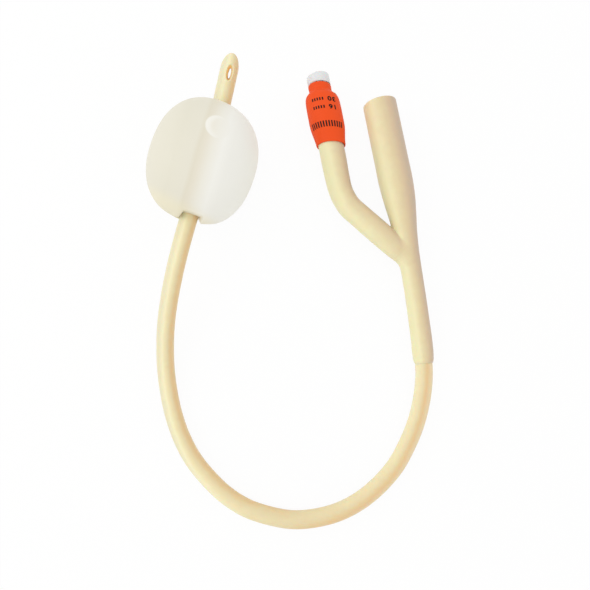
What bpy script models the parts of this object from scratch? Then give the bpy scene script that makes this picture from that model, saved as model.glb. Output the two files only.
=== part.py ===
"""Two-way balloon catheter lying on a table, its retention balloon filled.

Metres, +Z up. The table is z = 0, the drainage funnel points along +Y, and the origin is under the
middle of the whole thing. The tube runs from the connector round a wide bend to the balloon and tip.
"""
import math

import bmesh
import bpy
from mathutils import Matrix, Vector

MM = 0.001
CLEARANCE = 0.3 * MM          # gap left between touching pieces

# Tube, with a drainage lumen and a small inflation lumen in its thicker side
SHAFT_RADIUS = 3.1 * MM
DRAIN_LUMEN_RADIUS = 1.7 * MM
DRAIN_LUMEN_OFFSET = -0.4 * MM
INFLATION_LUMEN_RADIUS = 0.45 * MM
INFLATION_LUMEN_OFFSET = 2.2 * MM
ROUTE_SPACING = 8.0 * MM
LUMEN_OVERRUN = 2.0 * MM       # how far a cutter runs past the end it opens

# Where the tube lies between the connector and the balloon: x, y, z in millimetres
TUBE_ROUTE = [
    (42.5, -38.9, 3.7), (41.4, -43.1, 3.5), (40.0, -47.2, 3.3), (38.3, -51.2, 3.15),
    (36.4, -55.0, 3.1), (31.7, -62.2, 3.1), (26.2, -68.7, 3.1), (19.5, -73.9, 3.1),
    (11.9, -78.0, 3.1), (3.7, -80.5, 3.1), (-4.8, -81.2, 3.1), (-13.3, -80.3, 3.1),
    (-21.4, -77.4, 3.1), (-28.9, -73.3, 3.1), (-35.3, -67.6, 3.1), (-40.4, -60.9, 3.1),
    (-44.7, -53.4, 3.1), (-47.5, -45.4, 3.1), (-49.1, -36.9, 3.1), (-49.6, -28.3, 3.2),
    (-49.1, -19.7, 4.2), (-47.5, -11.1, 6.2), (-45.1, -2.9, 8.8), (-42.0, 5.0, 11.4),
    (-38.6, 12.5, 13.9), (-35.0, 20.0, 15.7),
]

# Retention balloon, a barrel about the tube. Each end is drawn in to a cuff turned inside it
BALLOON_RADIUS = 18.37 * MM
BALLOON_HALF_LENGTH = 21.3 * MM
BALLOON_WALL = 0.4 * MM
SIDE_FULLNESS = 2.41          # 2 gives an ellipse, more gives squarer shoulders
END_FULLNESS = 2.28
RECESS_RADIUS = 4.1 * MM
RECESS_DEPTH = 3.4 * MM
LIP_ROUNDING = 0.6 * MM
CUFF_LENGTH = 3.0 * MM
BALLOON_LEAD = 3.0 * MM       # straight tube before the balloon
BALLOON_X = -21.18 * MM
BALLOON_Y = 47.82 * MM
SHAFT_LEAN = math.radians(26.65)      # the tube's heading here, clockwise from +Y
SHAFT_RISE = math.radians(5.0)        # the tip end is the higher one
BODY_LEAN = math.radians(2.8)         # the filled body sits a little askew on the tube
BODY_SIDESTEP = -0.64 * MM
INFLATION_EYE_AHEAD = 3.6 * MM        # from the balloon's middle, towards the tip
INFLATION_EYE_LENGTH = 2.4 * MM

# Tip with its two drainage eyes, one above and, a little nearer to the nose, one below
TIP_LENGTH = 23.3 * MM
TIP_RADIUS = 3.15 * MM
TIP_LEAN = math.radians(22.8)
TIP_RISE = math.radians(5.0)
NOSE_LENGTH = 6.1 * MM
EYE_LENGTH = 5.9 * MM
EYE_WIDTH = 2.6 * MM
EYE_INNER_LENGTH = 4.0 * MM
EYE_INNER_WIDTH = 0.9 * MM
EYE_FROM_NOSE = 8.0 * MM
EYE_STAGGER = 1.8 * MM
EYE_ROLL = math.radians(14.0)         # the tube lies rolled, so its eyes face a little to the right
EYE_SIDESTEP = 0.4 * MM
EYE_OVERCUT = 0.9 * MM

# Connector: stem, drainage funnel and inflation arm in one moulding
STEM_RADIUS = 3.8 * MM
STEM_BORE_RADIUS = 1.8 * MM
STEM_SOCKET_DEPTH = 12.0 * MM
FUNNEL_X = 46.4 * MM
FUNNEL_SHOULDER_Y = 33.0 * MM
FUNNEL_MOUTH_Y = 64.1 * MM
FUNNEL_RADIUS = 6.25 * MM
FUNNEL_BORE_RADIUS = 4.6 * MM
FUNNEL_THROAT_RADIUS = 3.4 * MM
FUNNEL_BORE_DEPTH = 26.0 * MM
RIM_ROUNDING = 0.5 * MM
ARM_RADIUS = 4.4 * MM
ARM_CHANNEL_RADIUS = 0.9 * MM
STEM_SPACING = 3.4 * MM
ARM_SPACING = 3.0 * MM
BORE_SPACING = 5.0 * MM
CHANNEL_SPACING = 4.0 * MM
LINE_SPACING = 1.0 * MM        # of the fine lines that others are read from

# Middle line of the stem from the tube's end to the funnel: x, y, z in millimetres, and the
# outer radius as a share of STEM_RADIUS
STEM_LINE = [
    (43.2, -34.7, 3.9, 1.0), (44.1, -27.4, 4.2, 1.0), (44.7, -19.4, 4.6, 0.99),
    (45.2, -11.4, 4.9, 0.985), (45.5, -3.4, 5.3, 0.99), (45.7, 4.6, 5.7, 1.03),
    (46.0, 12.6, 6.0, 1.13), (46.3, 20.6, 6.2, 1.35), (46.4, 26.6, 6.25, 1.54),
]

# Middle line of the arm from its straight end, round the elbow, into the stem: x, y, z in
# millimetres, and the outer radius as a share of ARM_RADIUS
ARM_LINE = [
    (25.2, 38.6, 6.5, 1.04), (25.5, 33.2, 6.5, 1.01), (27.4, 27.1, 6.5, 1.0),
    (31.0, 22.2, 6.4, 1.0), (37.9, 13.3, 6.2, 1.0), (41.8, 8.1, 6.0, 0.92), (44.9, 3.8, 5.7, 0.76),
]

# The inflation channel leaves the arm and runs down the stem beside the drainage bore
CHANNEL_LINE = [
    (37.9, 13.3, 6.2), (41.6, 7.6, 6.0), (43.2, 1.6, 5.6), (43.3, -3.4, 5.3),
    (43.0, -11.4, 4.9), (42.5, -19.4, 4.6), (42.3, -23.5, 4.4),
]

# Inflation valve and the band that holds it, turned about a line along +Y
VALVE_X = 25.2 * MM
SLEEVE_BOTTOM_Y = 50.8 * MM
SLEEVE_LENGTH = 24.0 * MM
SLEEVE_RADIUS = 6.5 * MM
SLEEVE_MOUTH_RADIUS = 5.4 * MM
SLEEVE_NECK_RADIUS = 4.2 * MM
SLEEVE_WALL = 0.35 * MM
CAP_RADIUS = 4.3 * MM
CAP_LENGTH = 3.75 * MM
CAP_ROUNDING = 0.6 * MM
LUER_CHAMFER = 0.15 * MM
LUER_RADIUS = 2.15 * MM
LUER_INNER_RADIUS = 2.0 * MM
LUER_DEPTH = 7.5 * MM
COLLAR_RADIUS = 4.0 * MM
COLLAR_LENGTH = 1.2 * MM
BARREL_RADIUS = 3.3 * MM
BARREL_LENGTH = 11.8 * MM
CHAMBER_RADIUS = 2.4 * MM
LEDGE_HOLE_RADIUS = 1.3 * MM
LEDGE_THICKNESS = 0.8 * MM
SEAL_THICKNESS = 0.9 * MM
SEAL_RADIUS = 2.05 * MM
HEAD_THICKNESS = 0.8 * MM
HEAD_RADIUS = 2.0 * MM
PLUNGER_STEM_RADIUS = 0.8 * MM
PLUNGER_STEM_REACH = 3.6 * MM         # how far the stem stands up into the luer bore
PLUNGER_GUIDE_RADIUS = 0.7 * MM
PLUNGER_GUIDE_LENGTH = 3.3 * MM
SPRING_RADIUS = 1.45 * MM
SPRING_WIRE_RADIUS = 0.18 * MM
SPRING_LENGTH = 5.6 * MM
SPRING_TURNS = 5
SPRING_END_TURN_PITCH = 0.5 * MM
RETAINER_THICKNESS = 1.6 * MM
RETAINER_HOLE_RADIUS = 0.9 * MM

# Worked out from the sizes above
FUNNEL_Z = FUNNEL_RADIUS
VALVE_Z = SLEEVE_RADIUS
ARM_FLARE_RADIUS = SLEEVE_RADIUS - SLEEVE_WALL - CLEARANCE
ARM_MOUTH_RADIUS = SLEEVE_MOUTH_RADIUS - SLEEVE_WALL - CLEARANCE
CUFF_BORE = SHAFT_RADIUS + 0.8 * CLEARANCE
CAP_BOTTOM_Y = SLEEVE_BOTTOM_Y + SLEEVE_LENGTH + CLEARANCE
CAP_TOP_Y = CAP_BOTTOM_Y + CAP_LENGTH
LEDGE_TOP_Y = CAP_TOP_Y - LUER_DEPTH
LEDGE_BOTTOM_Y = LEDGE_TOP_Y - LEDGE_THICKNESS
COLLAR_BOTTOM_Y = LEDGE_BOTTOM_Y - CLEARANCE
ARM_TOP_Y = COLLAR_BOTTOM_Y - CLEARANCE
BARREL_BOTTOM_Y = COLLAR_BOTTOM_Y - BARREL_LENGTH
SEAL_TOP_Y = LEDGE_BOTTOM_Y - CLEARANCE
HEAD_TOP_Y = SEAL_TOP_Y - SEAL_THICKNESS - CLEARANCE
HEAD_BOTTOM_Y = HEAD_TOP_Y - HEAD_THICKNESS
SPRING_TOP_Y = HEAD_BOTTOM_Y - CLEARANCE
RETAINER_TOP_Y = SPRING_TOP_Y - SPRING_LENGTH - CLEARANCE


def clear_scene():
    for thing in list(bpy.data.objects):
        bpy.data.objects.remove(thing, do_unlink=True)


def new_collection(name):
    collection = bpy.data.collections.new(name)
    bpy.context.scene.collection.children.link(collection)
    return collection


def material(name, colour, roughness, metallic=0.0):
    mat = bpy.data.materials.new(name)
    mat.use_nodes = True
    shader = mat.node_tree.nodes["Principled BSDF"]
    shader.inputs["Base Color"].default_value = (*colour, 1.0)
    shader.inputs["Roughness"].default_value = roughness
    shader.inputs["Metallic"].default_value = metallic
    return mat


def heading(lean, rise):
    """Unit vector that points lean to the right of +Y and rise above the table."""
    level = math.cos(rise)
    return Vector((math.sin(lean) * level, math.cos(lean) * level, math.sin(rise)))


def frame_along(direction, place):
    """Matrix whose Z runs along direction and whose X is level, to the right of it."""
    x_axis = Vector((direction.y, -direction.x, 0)).normalized()
    y_axis = direction.cross(x_axis)
    turn = Matrix((x_axis, y_axis, direction)).transposed()
    return Matrix.Translation(place) @ turn.to_4x4()


def millimetres(row, share_of=None):
    """Point in metres from a row of millimetres, with a radius from its share if it has one."""
    place = [number * MM for number in row[:3]]
    return Vector(place + [row[3] * share_of]) if share_of else Vector(place)


def smooth_line(points, spacing):
    """Points an even distance apart on a smooth curve through points, radii carried along."""
    gaps = [(after - before).length for before, after in zip(points, points[1:])]
    slopes = [(after - before) / gap for before, after, gap in zip(points, points[1:], gaps)]
    tangents = [slopes[0]]
    for first, second, gap, next_gap in zip(slopes, slopes[1:], gaps, gaps[1:]):
        tangents.append((first * next_gap + second * gap) / (gap + next_gap))
    tangents.append(slopes[-1])
    fine = [points[0]]
    for index, gap in enumerate(gaps):
        for step in range(1, 17):
            t = step / 16
            fine.append(points[index] * (2 * t**3 - 3 * t**2 + 1)
                        + points[index + 1] * (3 * t**2 - 2 * t**3)
                        + tangents[index] * gap * (t**3 - 2 * t**2 + t)
                        + tangents[index + 1] * gap * (t**3 - t**2))
    return even_points(fine, spacing)


def even_points(line, spacing):
    """The polyline's own ends, and points about spacing apart between them."""
    reach = [0.0]
    for before, after in zip(line, line[1:]):
        reach.append(reach[-1] + (after - before).length)
    count = max(1, round(reach[-1] / spacing))
    points = []
    index = 0
    for step in range(count + 1):
        target = reach[-1] * step / count
        while index < len(line) - 2 and reach[index + 1] < target:
            index += 1
        share = (target - reach[index]) / (reach[index + 1] - reach[index])
        points.append(line[index].lerp(line[index + 1], share))
    return points


def beside(line, offset):
    """The line moved sideways, level with the table, to its right by offset."""
    moved = []
    for index, point in enumerate(line):
        ahead = line[min(index + 1, len(line) - 1)] - line[max(index - 1, 0)]
        moved.append(point + Vector((ahead.y, -ahead.x, 0)).normalized() * offset)
    return moved


def tube(name, line, radii, collection, sides_resolution=4):
    """Closed mesh swept along the line, with one radius for each point."""
    curve = bpy.data.curves.new(name, "CURVE")
    curve.dimensions = "3D"
    curve.bevel_depth = 1.0
    curve.bevel_resolution = sides_resolution
    curve.use_fill_caps = True
    spline = curve.splines.new("POLY")
    spline.points.add(len(line) - 1)
    for point, place, radius in zip(spline.points, line, radii):
        point.co = (*place[:3], 1.0)
        point.radius = radius
    guide = bpy.data.objects.new(name + "_line", curve)
    bpy.context.scene.collection.objects.link(guide)
    piece = made_mesh(guide, name, collection)
    bpy.data.curves.remove(curve)
    return piece


def made_mesh(source, name, collection):
    """Plain welded mesh object of what source shows, in its place; source is removed."""
    depsgraph = bpy.context.evaluated_depsgraph_get()
    mesh = bpy.data.meshes.new_from_object(source.evaluated_get(depsgraph))
    work = bmesh.new()
    work.from_mesh(mesh)
    bmesh.ops.remove_doubles(work, verts=work.verts, dist=0.001 * MM)
    bmesh.ops.recalc_face_normals(work, faces=work.faces)
    work.to_mesh(mesh)
    work.free()
    mesh.name = name
    piece = bpy.data.objects.new(name, mesh)
    piece.matrix_world = source.matrix_world.copy()
    collection.objects.link(piece)
    bpy.data.objects.remove(source, do_unlink=True)
    return piece


def turned(name, profile, steps, place, collection, closed=False):
    """Turned piece: profile of (radius, height) from its top down the outside, spun about Z."""
    mesh = bpy.data.meshes.new(name)
    points = [(radius, 0.0, height) for radius, height in profile]
    edges = [(i, i + 1) for i in range(len(points) - 1)]
    if closed:
        edges.append((len(points) - 1, 0))
    mesh.from_pydata(points, edges, [])
    piece = bpy.data.objects.new(name, mesh)
    piece.matrix_world = place
    collection.objects.link(piece)
    spin = piece.modifiers.new("Turn", "SCREW")
    spin.steps = steps
    spin.render_steps = steps
    spin.use_merge_vertices = True
    spin.merge_threshold = 0.001 * MM
    return piece


def combine(piece, other, operation):
    """Live Boolean with a guide object that the build leaves out."""
    other.display_type = "WIRE"
    other.hide_render = True
    step = piece.modifiers.new(other.name, "BOOLEAN")
    step.operation = operation
    step.object = other
    step.solver = "EXACT"


def finish(piece, mat, angle=40):
    """Gives the piece its material and smooth shading, with sharp edges kept."""
    mesh = piece.data
    mesh.materials.clear()
    mesh.materials.append(mat)
    if mesh.polygons:
        mesh.shade_smooth()
        mesh.set_sharp_from_angle(angle=math.radians(angle))


# Lines and places that several pieces share


def stem_points():
    return smooth_line([millimetres(row, STEM_RADIUS) for row in STEM_LINE], LINE_SPACING)


def balloon_height():
    """Height of the balloon's middle when its lowest point touches the table."""
    lowest = 0.0
    for radius, height in barrel(BALLOON_RADIUS, BALLOON_HALF_LENGTH, CUFF_BORE, 60):
        lowest = max(lowest, radius * math.cos(SHAFT_RISE) - height * math.sin(SHAFT_RISE))
    return lowest


def barrel(radius, half_length, end_radius, count):
    """Outline from one end of the barrel to the other, as (radius, height), top first."""
    start = math.acos((end_radius / radius) ** (SIDE_FULLNESS / 2))
    outline = []
    for step in range(count + 1):
        turn = start * (1 - 2 * step / count)
        across = radius * math.cos(turn) ** (2 / SIDE_FULLNESS)
        along = half_length * abs(math.sin(turn)) ** (2 / END_FULLNESS)
        outline.append((across, math.copysign(along, turn)))
    return outline


def on_balloon_axis(distance):
    """Point on the tube's line inside the balloon, distance from its middle towards the tip."""
    middle = Vector((BALLOON_X, BALLOON_Y, balloon_height()))
    return middle + heading(SHAFT_LEAN, SHAFT_RISE) * distance


def shaft_end():
    """Where the tube stops inside the far cuff, measured from the balloon's middle."""
    return BALLOON_HALF_LENGTH - RECESS_DEPTH - CUFF_LENGTH / 2


def shaft_line():
    """The tube's middle line from its end in the connector to its end under the far cuff."""
    stem = stem_points()
    held = [Vector(p[:3]) for p in stem if p.y < stem[0].y + STEM_SOCKET_DEPTH - CLEARANCE]
    route = [held[-1], held[len(held) // 2], held[0]]
    route += [millimetres(row) for row in TUBE_ROUTE]
    lead = BALLOON_HALF_LENGTH + BALLOON_LEAD
    route += [on_balloon_axis(d) for d in (-lead, -BALLOON_HALF_LENGTH / 2, 0.0, shaft_end())]
    return smooth_line(route, ROUTE_SPACING)


# Pieces


def make_shaft(parts, cutters, latex):
    line = shaft_line()
    shaft = tube("catheter_shaft", line, [SHAFT_RADIUS] * len(line), parts)
    over = (line[0] - line[1]).normalized() * LUMEN_OVERRUN
    past = (line[-1] - line[-2]).normalized() * LUMEN_OVERRUN
    drain = [line[0] + over] + line[1:-1] + [line[-1] + past]
    drain = beside(drain, DRAIN_LUMEN_OFFSET)
    combine(shaft, tube("drainage_lumen", drain, [DRAIN_LUMEN_RADIUS] * len(drain), cutters, 3),
            "DIFFERENCE")
    eye = on_balloon_axis(INFLATION_EYE_AHEAD)
    feed = [line[0] + over] + [p for p in line[1:] if (p - line[-1]).length > (eye - line[-1]).length]
    feed = beside(feed + [eye], INFLATION_LUMEN_OFFSET)
    combine(shaft, tube("inflation_lumen", feed, [INFLATION_LUMEN_RADIUS] * len(feed), cutters, 2),
            "DIFFERENCE")
    slot = tube("inflation_eye",
                beside([on_balloon_axis(INFLATION_EYE_AHEAD - INFLATION_EYE_LENGTH / 2),
                        on_balloon_axis(INFLATION_EYE_AHEAD + INFLATION_EYE_LENGTH / 2)],
                       SHAFT_RADIUS),
                [SHAFT_RADIUS - INFLATION_LUMEN_OFFSET] * 2, cutters, 2)
    combine(shaft, slot, "DIFFERENCE")
    finish(shaft, latex)


def eye_rings():
    """The eyes' outlines through the tip: level, half width, half length, shift to the nose."""
    wall = TIP_RADIUS - DRAIN_LUMEN_RADIUS
    reach = TIP_RADIUS + EYE_OVERCUT
    spread = (reach - DRAIN_LUMEN_RADIUS) / wall
    wide = (EYE_INNER_WIDTH + (EYE_WIDTH - EYE_INNER_WIDTH) * spread) / 2
    long = (EYE_INNER_LENGTH + (EYE_LENGTH - EYE_INNER_LENGTH) * spread) / 2
    inner = (EYE_INNER_WIDTH / 2, EYE_INNER_LENGTH / 2)
    return [(-reach, wide, long, 0.0), (-DRAIN_LUMEN_RADIUS, *inner, 0.0),
            (DRAIN_LUMEN_RADIUS, *inner, EYE_STAGGER), (reach, wide, long, EYE_STAGGER)]


def make_tip(parts, cutters, latex):
    base = on_balloon_axis(shaft_end() + CLEARANCE)
    place = frame_along(heading(TIP_LEAN, TIP_RISE), base)
    nose_start = TIP_LENGTH - NOSE_LENGTH
    profile = [(0.0, TIP_LENGTH)]
    for step in range(1, 9):
        turn = math.radians(90 * step / 8)
        profile.append((TIP_RADIUS * math.sin(turn), nose_start + NOSE_LENGTH * math.cos(turn)))
    profile += [(TIP_RADIUS, 0.0), (DRAIN_LUMEN_RADIUS, 0.0)]
    lumen_top = TIP_LENGTH - EYE_FROM_NOSE + EYE_LENGTH / 2
    for step in range(4, -1, -1):
        turn = math.radians(90 * step / 4)
        profile.append((DRAIN_LUMEN_RADIUS * math.sin(turn),
                        lumen_top + DRAIN_LUMEN_RADIUS * (math.cos(turn) - 1)))
    tip = turned("drainage_tip", profile, 24, place, parts)
    work = bmesh.new()
    loops = []
    for level, wide, long, ahead in eye_rings():
        ring = bmesh.ops.create_circle(work, segments=20, radius=1.0)["verts"]
        bmesh.ops.transform(work, verts=ring, matrix=Matrix.Rotation(EYE_ROLL, 4, "Z")
            @ Matrix.Translation((EYE_SIDESTEP, level, TIP_LENGTH - EYE_FROM_NOSE + ahead))
            @ Matrix.Rotation(math.radians(90), 4, "X") @ Matrix.Diagonal((wide, long, 1, 1)))
        loops.append(ring)
    for lower, upper in zip(loops, loops[1:]):
        edges = {e for v in lower + upper for e in v.link_edges if len(e.link_faces) < 2}
        edges = [e for e in edges if {e.verts[0], e.verts[1]} <= set(lower)
                 or {e.verts[0], e.verts[1]} <= set(upper)]
        bmesh.ops.bridge_loops(work, edges=edges)
    bmesh.ops.holes_fill(work, edges=[e for e in work.edges if e.is_boundary])
    bmesh.ops.recalc_face_normals(work, faces=work.faces)
    mesh = bpy.data.meshes.new("drainage_eyes")
    work.to_mesh(mesh)
    work.free()
    eyes = bpy.data.objects.new("drainage_eyes", mesh)
    eyes.matrix_world = place
    cutters.objects.link(eyes)
    combine(tip, eyes, "DIFFERENCE")
    finish(tip, latex)


def balloon_outline():
    """Outer side of the membrane from the far cuff's end to the near one, as (radius, height)."""
    crest = RECESS_RADIUS + LIP_ROUNDING
    side = barrel(BALLOON_RADIUS, BALLOON_HALF_LENGTH, crest, 24)
    floor = BALLOON_HALF_LENGTH - RECESS_DEPTH
    end = [(CUFF_BORE, floor - CUFF_LENGTH), (CUFF_BORE, floor),
           (RECESS_RADIUS, floor + LIP_ROUNDING)]
    for step in range(3):
        turn = math.radians(90 * step / 3)
        end.append((crest - LIP_ROUNDING * math.cos(turn),
                    side[0][1] - LIP_ROUNDING * (1 - math.sin(turn))))
    return end + side + [(radius, -height) for radius, height in end[::-1]]


def make_balloon(parts, membrane):
    place = frame_along(heading(SHAFT_LEAN, SHAFT_RISE), on_balloon_axis(0.0))
    spun = turned("balloon_turning", balloon_outline(), 32, place, parts)
    wall = spun.modifiers.new("Wall", "SOLIDIFY")
    wall.thickness = BALLOON_WALL
    wall.offset = -1
    wall.use_even_offset = True
    balloon = made_mesh(spun, "retention_balloon", parts)
    for vertex in balloon.data.vertices:
        radius = math.hypot(vertex.co.x, vertex.co.y)
        share = (radius - RECESS_RADIUS) / (BALLOON_RADIUS / 2 - RECESS_RADIUS)
        share = min(max(share, 0.0), 1.0)
        share = share * share * (3 - 2 * share)
        sideways = share * (BODY_SIDESTEP + vertex.co.z * math.tan(BODY_LEAN))
        vertex.co.z -= share * vertex.co.x * math.tan(BODY_LEAN)
        vertex.co.x += sideways
    finish(balloon, membrane)


def arm_end_line():
    """Straight end of the arm inside the band, as points with an outer radius, top first."""
    rows = [
        (ARM_TOP_Y, ARM_FLARE_RADIUS - 2 * RIM_ROUNDING),
        (ARM_TOP_Y - RIM_ROUNDING, ARM_FLARE_RADIUS - RIM_ROUNDING),
        (ARM_TOP_Y - 4 * RIM_ROUNDING, ARM_FLARE_RADIUS),
        (SLEEVE_BOTTOM_Y + 0.36 * SLEEVE_LENGTH, ARM_FLARE_RADIUS),
        (SLEEVE_BOTTOM_Y + 0.24 * SLEEVE_LENGTH, 0.965 * ARM_FLARE_RADIUS),
        (SLEEVE_BOTTOM_Y + 0.06 * SLEEVE_LENGTH, 1.02 * ARM_MOUTH_RADIUS),
        (SLEEVE_BOTTOM_Y, ARM_MOUTH_RADIUS),
        (SLEEVE_BOTTOM_Y - 0.2 * SLEEVE_LENGTH, ARM_MOUTH_RADIUS),
    ]
    return [Vector((VALVE_X, y, VALVE_Z, radius)) for y, radius in rows]


def make_connector(parts, cutters, latex):
    funnel = [Vector((FUNNEL_X, y, FUNNEL_Z, radius)) for y, radius in (
        (FUNNEL_SHOULDER_Y, FUNNEL_RADIUS),
        (FUNNEL_MOUTH_Y - 3 * RIM_ROUNDING, FUNNEL_RADIUS),
        (FUNNEL_MOUTH_Y - RIM_ROUNDING, FUNNEL_RADIUS - RIM_ROUNDING / 3),
        (FUNNEL_MOUTH_Y, FUNNEL_RADIUS - RIM_ROUNDING))]
    rows = [millimetres(row, STEM_RADIUS) for row in STEM_LINE] + funnel[:1]
    body = smooth_line(rows, STEM_SPACING) + funnel[1:]
    connector = tube("y_connector", body, [p[3] for p in body], parts, 6)

    arm_rows = [millimetres(row, ARM_RADIUS) for row in ARM_LINE]
    arm = arm_end_line()
    arm += smooth_line([arm[-1]] + arm_rows, ARM_SPACING)[1:]
    combine(connector, tube("arm_outside", arm, [p[3] for p in arm], cutters, 6), "UNION")

    stem = stem_points()
    end = stem[0] + (stem[0] - stem[1]).normalized() * LUMEN_OVERRUN
    held = [Vector(p[:3]) for p in [end] + stem if p.y < stem[0].y + STEM_SOCKET_DEPTH]
    held = even_points(held, CHANNEL_SPACING)
    combine(connector, tube("tube_socket", held, [SHAFT_RADIUS + CLEARANCE] * len(held), cutters),
            "DIFFERENCE")

    above = [Vector(p[:3]) for p in stem if p.y >= held[-1].y - LINE_SPACING]
    bore = beside(even_points(above, BORE_SPACING), -DRAIN_LUMEN_OFFSET)
    radii = [STEM_BORE_RADIUS] * len(bore)
    throat_y = FUNNEL_MOUTH_Y - FUNNEL_BORE_DEPTH
    taper = (FUNNEL_BORE_RADIUS - FUNNEL_THROAT_RADIUS) / FUNNEL_BORE_DEPTH
    for y, radius in ((throat_y, FUNNEL_THROAT_RADIUS), (FUNNEL_MOUTH_Y, FUNNEL_BORE_RADIUS),
                      (FUNNEL_MOUTH_Y + LUMEN_OVERRUN,
                       FUNNEL_BORE_RADIUS + taper * LUMEN_OVERRUN)):
        bore.append(Vector((FUNNEL_X, y, FUNNEL_Z)))
        radii.append(radius)
    combine(connector, tube("drainage_bore", bore, radii, cutters, 4), "DIFFERENCE")

    socket = [Vector((VALVE_X, y, VALVE_Z))
              for y in (ARM_TOP_Y + LUMEN_OVERRUN, BARREL_BOTTOM_Y - CLEARANCE)]
    combine(connector, tube("valve_socket", socket, [BARREL_RADIUS + CLEARANCE] * 2, cutters, 6),
            "DIFFERENCE")

    channel = [socket[-1] + Vector((0, LINE_SPACING, 0))]
    channel += [Vector(p[:3]) for p in arm_rows[:4]] + [millimetres(row) for row in CHANNEL_LINE]
    channel = smooth_line(channel, CHANNEL_SPACING)
    narrow = INFLATION_LUMEN_RADIUS
    radii = [ARM_CHANNEL_RADIUS if p.y > arm_rows[4].y else narrow for p in channel]
    combine(connector, tube("inflation_channel", channel, radii, cutters, 2), "DIFFERENCE")
    finish(connector, latex)


def valve_place(y):
    """Matrix at height y on the valve's line, its Z along +Y."""
    return frame_along(Vector((0, 1, 0)), Vector((VALVE_X, y, VALVE_Z)))


def valve_turned(name, rows, origin_y, steps, parts, mat, closed=True):
    """Turned valve piece from (radius, y) rows, with its origin on the valve's line."""
    profile = [(radius, y - origin_y) for radius, y in rows]
    piece = turned(name, profile, steps, valve_place(origin_y), parts, closed)
    finish(piece, mat)


def make_sleeve(parts, band):
    outline = [
        (SLEEVE_NECK_RADIUS, 1.0), (SLEEVE_NECK_RADIUS, 0.94), (1.01 * SLEEVE_NECK_RADIUS, 0.885),
        (0.76 * SLEEVE_RADIUS, 0.863), (0.89 * SLEEVE_RADIUS, 0.838), (0.965 * SLEEVE_RADIUS, 0.797),
        (SLEEVE_RADIUS, 0.742), (SLEEVE_RADIUS, 0.375), (0.97 * SLEEVE_RADIUS, 0.25),
        (1.02 * SLEEVE_MOUTH_RADIUS, 0.062), (SLEEVE_MOUTH_RADIUS, 0.0),
    ]
    outer = [(radius, SLEEVE_BOTTOM_Y + share * SLEEVE_LENGTH) for radius, share in outline]
    inner = [(radius - SLEEVE_WALL, y) for radius, y in outer]
    valve_turned("valve_sleeve", outer + inner[::-1], SLEEVE_BOTTOM_Y, 28, parts, band)


def make_valve_body(parts, plastic):
    rows = [
        (LUER_RADIUS + LUER_CHAMFER, CAP_TOP_Y), (CAP_RADIUS - CAP_ROUNDING, CAP_TOP_Y),
        (CAP_RADIUS, CAP_TOP_Y - CAP_ROUNDING), (CAP_RADIUS, CAP_BOTTOM_Y),
        (SLEEVE_NECK_RADIUS - SLEEVE_WALL - CLEARANCE, CAP_BOTTOM_Y),
        (SLEEVE_NECK_RADIUS - SLEEVE_WALL - CLEARANCE, COLLAR_BOTTOM_Y + COLLAR_LENGTH),
        (COLLAR_RADIUS, COLLAR_BOTTOM_Y + COLLAR_LENGTH), (COLLAR_RADIUS, COLLAR_BOTTOM_Y),
        (BARREL_RADIUS, COLLAR_BOTTOM_Y), (BARREL_RADIUS, BARREL_BOTTOM_Y),
        (CHAMBER_RADIUS, BARREL_BOTTOM_Y), (CHAMBER_RADIUS, LEDGE_BOTTOM_Y),
        (LEDGE_HOLE_RADIUS, LEDGE_BOTTOM_Y), (LEDGE_HOLE_RADIUS, LEDGE_TOP_Y),
        (LUER_INNER_RADIUS, LEDGE_TOP_Y), (LUER_RADIUS, CAP_TOP_Y - LUER_CHAMFER),
    ]
    valve_turned("valve_body", rows, CAP_TOP_Y, 24, parts, plastic)


def make_plunger(parts, plastic, rubber):
    rows = [
        (0.0, LEDGE_TOP_Y + PLUNGER_STEM_REACH),
        (PLUNGER_STEM_RADIUS, LEDGE_TOP_Y + PLUNGER_STEM_REACH), (PLUNGER_STEM_RADIUS, HEAD_TOP_Y),
        (HEAD_RADIUS, HEAD_TOP_Y), (HEAD_RADIUS, HEAD_BOTTOM_Y),
        (PLUNGER_GUIDE_RADIUS, HEAD_BOTTOM_Y),
        (PLUNGER_GUIDE_RADIUS, HEAD_BOTTOM_Y - PLUNGER_GUIDE_LENGTH),
        (0.0, HEAD_BOTTOM_Y - PLUNGER_GUIDE_LENGTH),
    ]
    valve_turned("valve_plunger", rows, HEAD_BOTTOM_Y, 16, parts, plastic, closed=False)
    hole = PLUNGER_STEM_RADIUS + CLEARANCE
    ring = [(hole, SEAL_TOP_Y), (SEAL_RADIUS, SEAL_TOP_Y),
            (SEAL_RADIUS, SEAL_TOP_Y - SEAL_THICKNESS), (hole, SEAL_TOP_Y - SEAL_THICKNESS)]
    valve_turned("valve_seal", ring, SEAL_TOP_Y, 20, parts, rubber)


def make_spring(parts, steel):
    """Compression spring whose last turn at each end lies closer than the rest."""
    wire = 2 * SPRING_WIRE_RADIUS
    climb = SPRING_LENGTH - wire - 2 * SPRING_END_TURN_PITCH
    steps = 12
    line = []
    height = SPRING_TOP_Y - SPRING_LENGTH + SPRING_WIRE_RADIUS
    turns = SPRING_TURNS + 2
    for step in range(turns * steps + 1):
        turn = 2 * math.pi * step / steps
        line.append(Vector((VALVE_X + SPRING_RADIUS * math.cos(turn), height,
                            VALVE_Z + SPRING_RADIUS * math.sin(turn))))
        end_turn = step < steps or step >= (turns - 1) * steps
        height += (SPRING_END_TURN_PITCH if end_turn else climb / SPRING_TURNS) / steps
    spring = tube("valve_spring", line, [SPRING_WIRE_RADIUS] * len(line), parts, 1)
    finish(spring, steel)


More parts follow.
